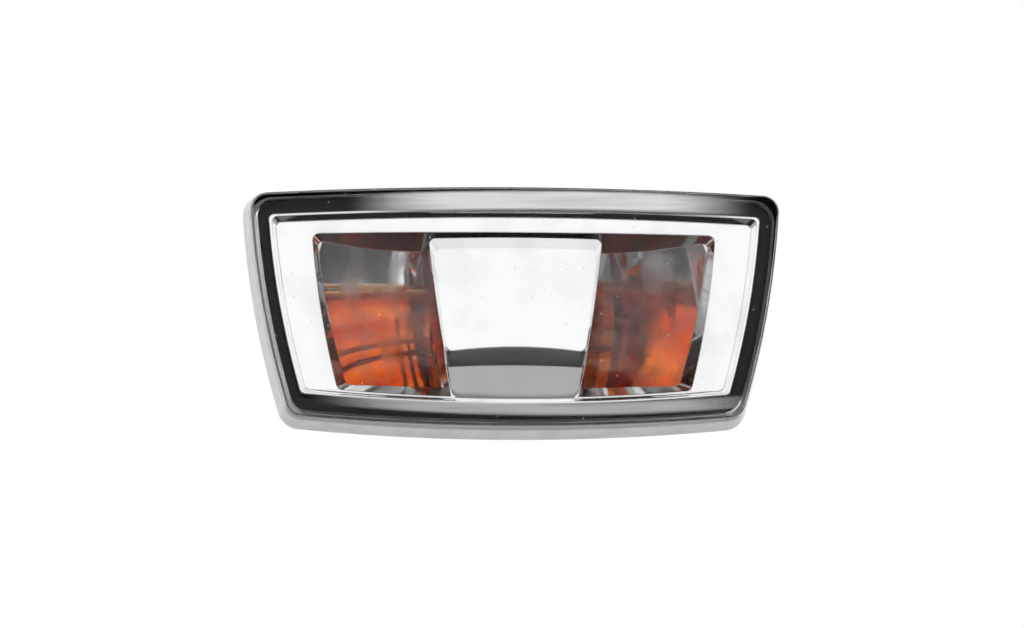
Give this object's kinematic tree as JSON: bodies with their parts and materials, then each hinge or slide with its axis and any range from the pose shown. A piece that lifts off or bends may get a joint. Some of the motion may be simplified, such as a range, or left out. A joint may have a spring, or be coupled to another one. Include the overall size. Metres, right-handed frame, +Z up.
{
  "type": "side repeater lamp",
  "caption": "Car side repeater lamp: clear lens over a chromed bezel and reflector, shielded amber bulb, black clip-in housing and twist-lock bulb holder.",
  "frame": {"origin": "on the bulb's axis, in the plane where the panel seal's rear face rests on the outside of the wing panel", "axes": "+Y into the car body along the bulb's axis, so the lens faces -Y; +X along the long side of the lens, to the right as seen from the front; +Z up, towards the longer edge of the lens"},
  "size_m": [0.0768, 0.0441, 0.036],
  "materials": {
    "clear_lens": "gloss",
    "metallised": "polished",
    "reflector_silver": "polished",
    "black_plastic": "satin",
    "seal_rubber": "matte",
    "holder_plastic": "satin",
    "contact_brass": "satin",
    "bulb_glass": "gloss",
    "filament_wire": "satin"
  },
  "bodies": {
    "lamp": {"outer_lens": "clear_lens", "chrome_bezel": "metallised", "reflector": "reflector_silver", "housing": "black_plastic", "panel_seal": "seal_rubber"},
    "bulb_holder": {"bulb_holder": "holder_plastic", "holder_seal": "seal_rubber", "contact_upper": "contact_brass", "contact_lower": "contact_brass", "bulb_glass": "bulb_glass", "bulb_filament": "filament_wire", "bulb_lead_left": "filament_wire", "bulb_lead_right": "filament_wire"}
  },
  "joints": [
    {"name": "bulb_holder_twist", "type": "hinge", "parent": "lamp", "child": "bulb_holder", "pos_m": [0, 0.018, 0], "axis": [0, 1, 0], "range_deg": [0, 45]}
  ]
}
